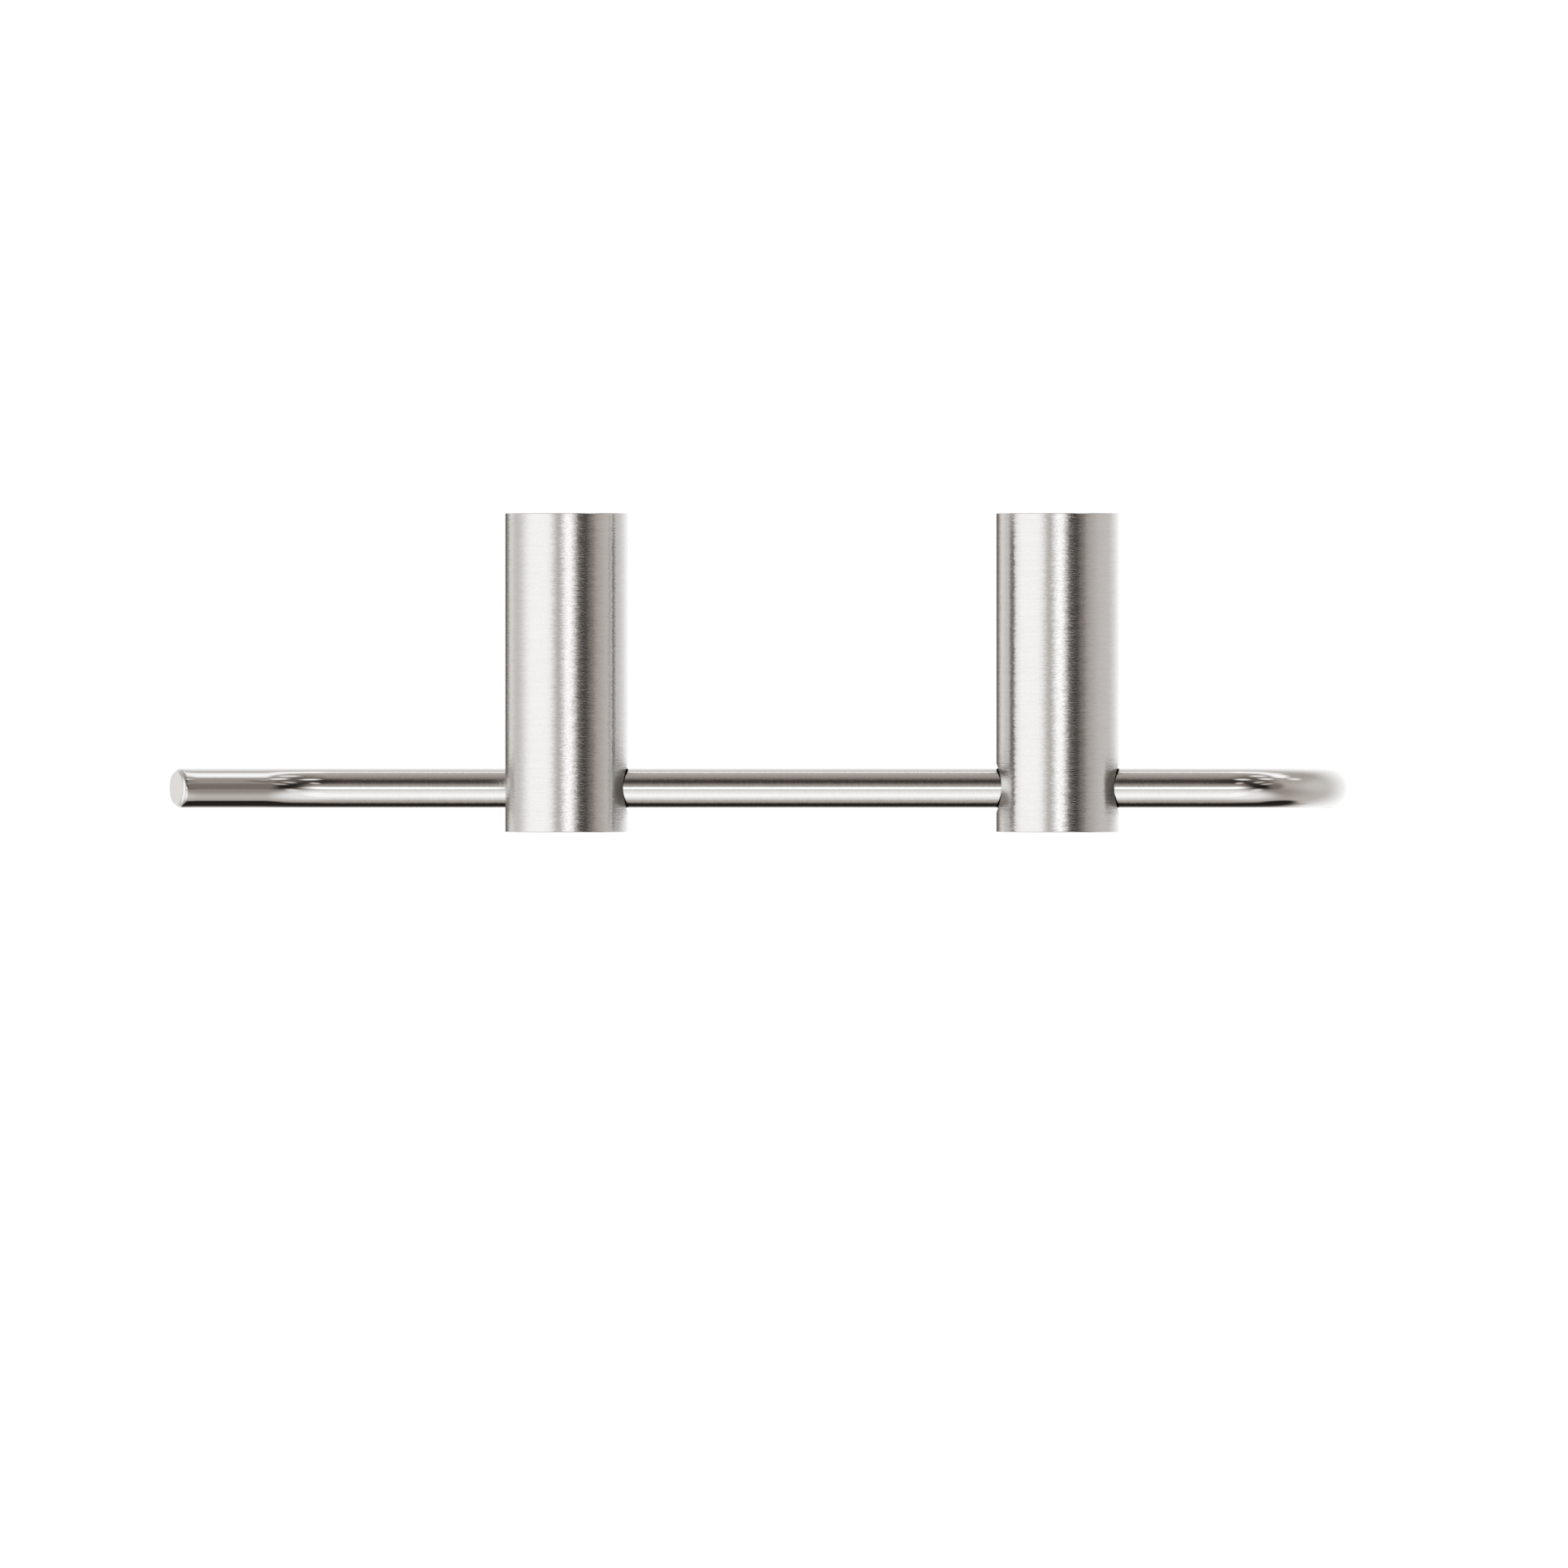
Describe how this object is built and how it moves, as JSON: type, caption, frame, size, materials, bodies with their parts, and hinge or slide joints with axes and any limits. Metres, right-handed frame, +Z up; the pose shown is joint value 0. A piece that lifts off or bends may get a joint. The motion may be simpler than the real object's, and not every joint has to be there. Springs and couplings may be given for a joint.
{
  "type": "wall hook rack",
  "caption": "Wall rack of two round posts carrying one bent round rod, which bows back below them and ends in a raised open hook.",
  "frame": {"origin": "on the wall plane, midway between the centres of the two wall screw holes", "axes": "+Y into the wall, +Z up, +X along the rod towards the bow; the open end of the lower run points to -X"},
  "size_m": [0.2398, 0.065, 0.0565],
  "materials": {
    "post_steel": "satin, brushed round the post",
    "rod_steel": "fine brushed, polished at the bends",
    "adapter_steel": "turned",
    "screw_steel": "plain",
    "black_nylon": "matte"
  },
  "bodies": {
    "root": {"post_left": "post_steel", "post_right": "post_steel", "hook_rod": "rod_steel", "bush_left_mouth": "black_nylon", "bush_left_seat": "black_nylon", "bush_right_inner": "black_nylon", "bush_right_outer": "black_nylon", "rod_screw_left": "screw_steel", "rod_screw_right": "screw_steel", "wall_adapter_left": "adapter_steel", "wall_adapter_right": "adapter_steel", "lock_screw_left": "screw_steel", "lock_screw_right": "screw_steel"}
  },
  "joints": []
}
